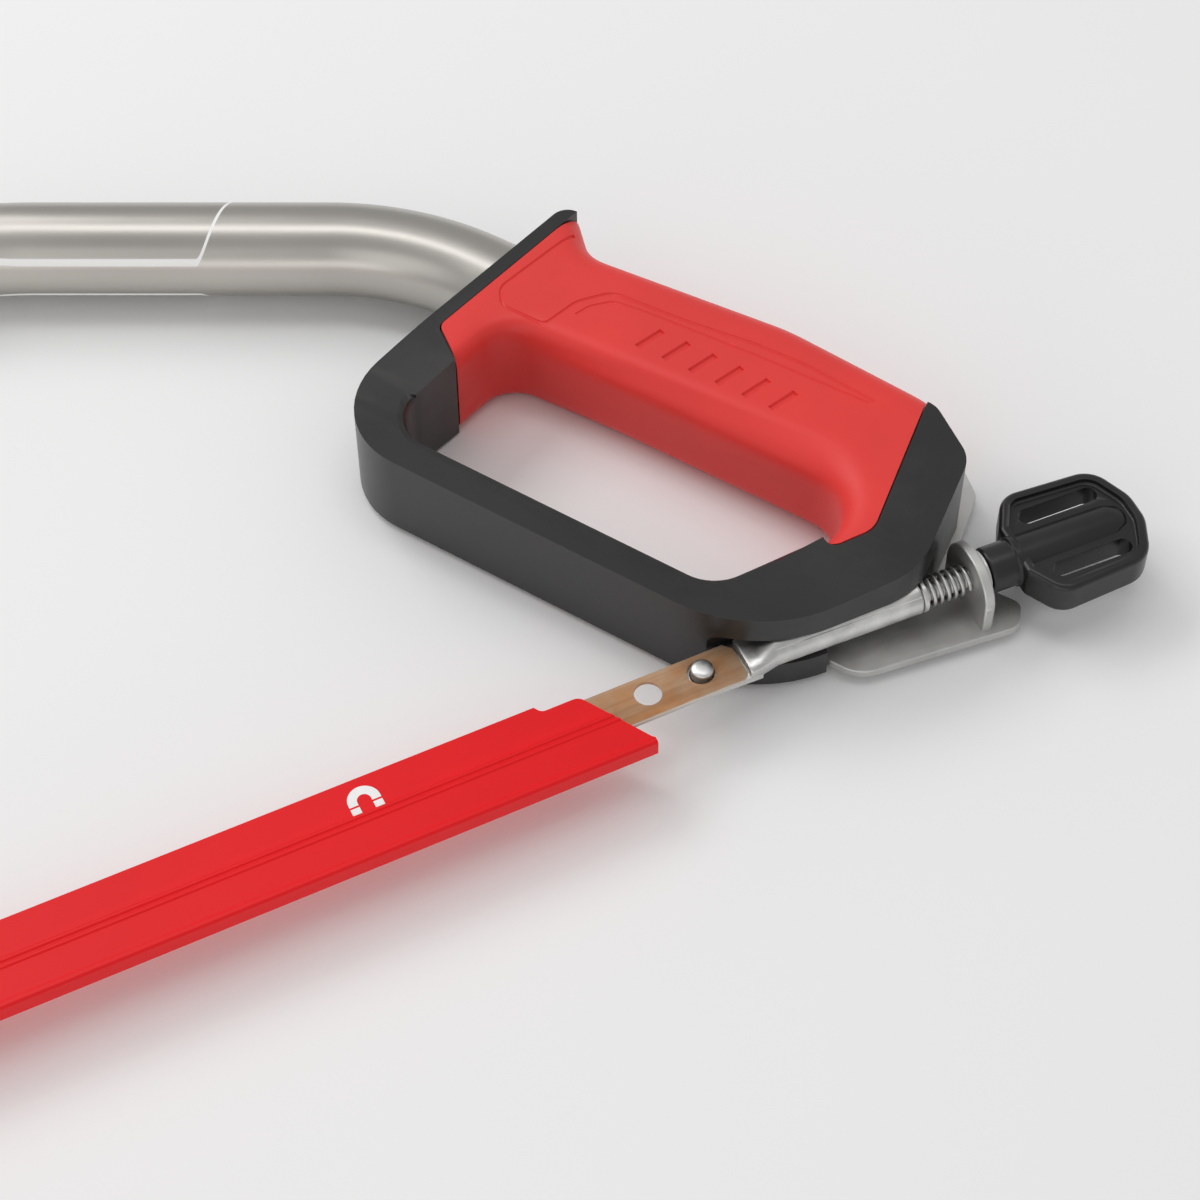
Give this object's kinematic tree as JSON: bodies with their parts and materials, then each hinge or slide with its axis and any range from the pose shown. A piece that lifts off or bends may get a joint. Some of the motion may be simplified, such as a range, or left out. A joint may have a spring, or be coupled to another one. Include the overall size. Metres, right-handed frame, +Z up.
{
  "type": "bow saw",
  "caption": "Bow saw with a bent tube frame, soft-grip D-handle, tensioned lacquered blade, wing knob tensioner and a slide-on magnetic blade guard.",
  "frame": {"origin": "centre of the footprint on the surface that the saw lies on", "axes": "+X from the nose to the knob, +Y from the blade up to the frame tube, +Z up through the thickness of the saw"},
  "size_m": [0.725, 0.2555, 0.0304],
  "materials": {
    "satin_steel_tube": "satin champagne-silver tube",
    "satin_steel_plate": "satin stamped plate",
    "plated_steel": "bright zinc plate",
    "black_plastic": "satin moulded black",
    "red_soft_grip": "soft-touch red overmould",
    "red_gloss_plastic": "glossy red moulding",
    "blade_lacquer": "copper-brown lacquer",
    "magnet_ferrite": "dull dark grey"
  },
  "bodies": {
    "frame": {"frame_tube": "satin_steel_tube", "handle_body": "black_plastic", "grip_overmould": "red_soft_grip", "end_bracket": "satin_steel_plate", "bracket_screw_1": "plated_steel", "bracket_screw_2": "plated_steel", "bracket_screw_3": "plated_steel", "tension_spring": "plated_steel"},
    "knob": {"tension_knob": "black_plastic", "tension_screw": "plated_steel", "thrust_washer": "plated_steel"},
    "draw": {"draw_bar": "plated_steel", "draw_bush": "plated_steel", "rear_blade_pin": "plated_steel", "front_blade_pin": "plated_steel", "blade": "blade_lacquer"},
    "guard": {"blade_guard": "red_gloss_plastic", "guard_magnet_1": "magnet_ferrite", "guard_magnet_2": "magnet_ferrite", "guard_magnet_3": "magnet_ferrite"}
  },
  "joints": [
    {"name": "knob_turn", "type": "hinge", "parent": "frame", "child": "knob", "pos_m": [0.31635, -0.10964, 0.0152], "axis": [-0.9992, 0.0401, 0], "range_deg": [-3601, 0]},
    {"name": "draw_slide", "type": "slide", "parent": "frame", "child": "draw", "axis": [0.9992, -0.0401, 0], "range_m": [-0.008, 0], "deforming": ["tension_spring"]},
    {"name": "guard_pull", "type": "slide", "parent": "draw", "child": "guard", "axis": [0, -1, 0], "range_m": [0, 0.03]}
  ],
  "couplings": [
    {"joint": "knob_turn", "follows": "draw_slide", "rad_per_m": 7854}
  ]
}
